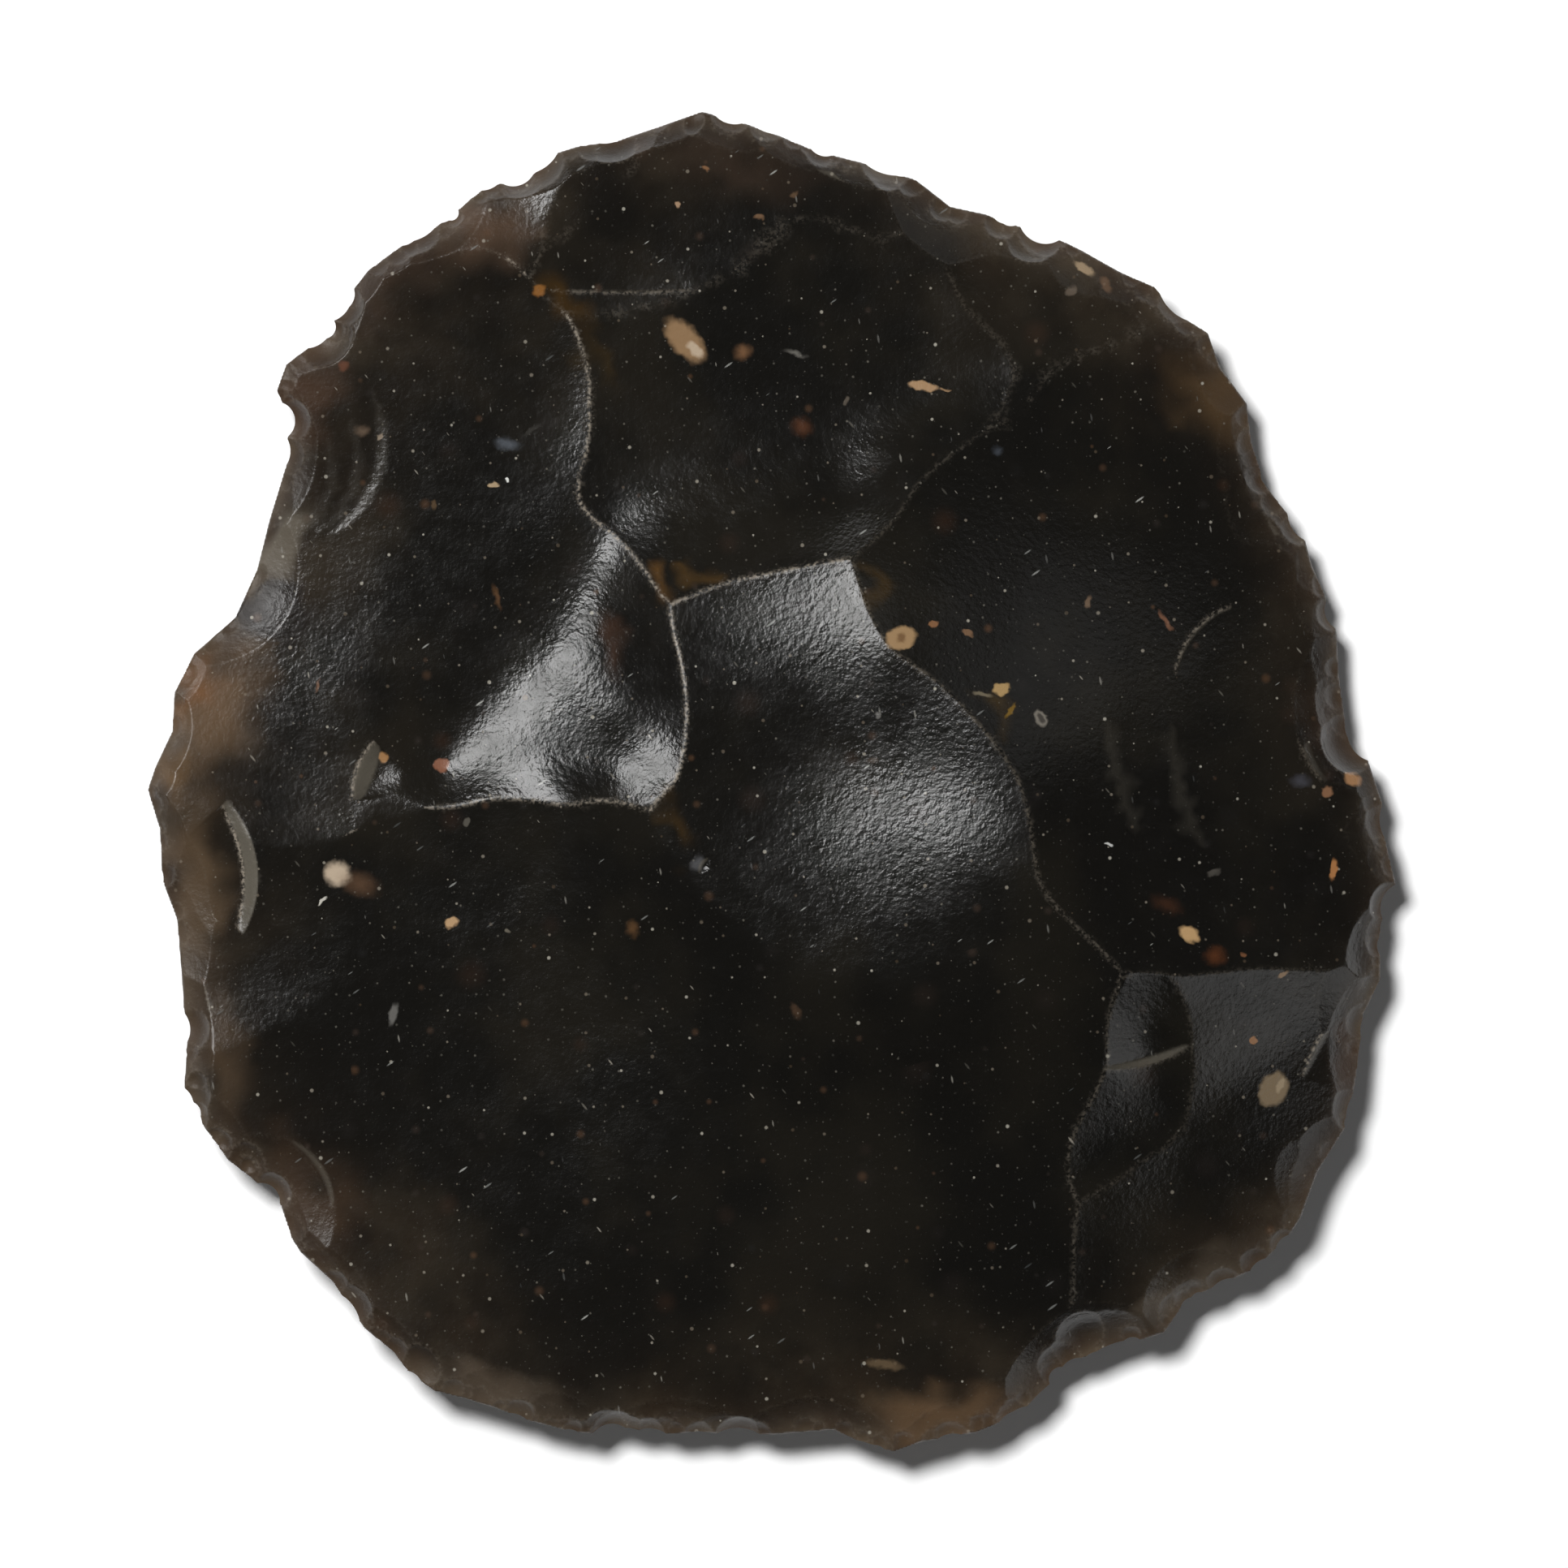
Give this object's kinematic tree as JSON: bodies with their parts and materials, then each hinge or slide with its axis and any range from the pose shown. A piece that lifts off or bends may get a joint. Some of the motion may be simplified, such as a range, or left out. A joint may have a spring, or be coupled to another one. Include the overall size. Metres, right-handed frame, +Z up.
{
  "type": "flint scraper",
  "caption": "Disc-shaped knapped flint scraper: plain lower face, ridged upper face of large flake scars, and a scalloped edge retouched all round.",
  "frame": {"origin": "on the surface that the stone rests on, under the middle of its box", "axes": "+Y along the longest extent, +X across the disc, +Z up out of the ridged upper face"},
  "size_m": [0.0514, 0.0552, 0.01],
  "materials": {
    "dark_flint": "waxy, near-black flint with pale specks, smoky brown and translucent where it is thin"
  },
  "bodies": {
    "root": {"knapped_flint": "dark_flint"}
  },
  "joints": []
}
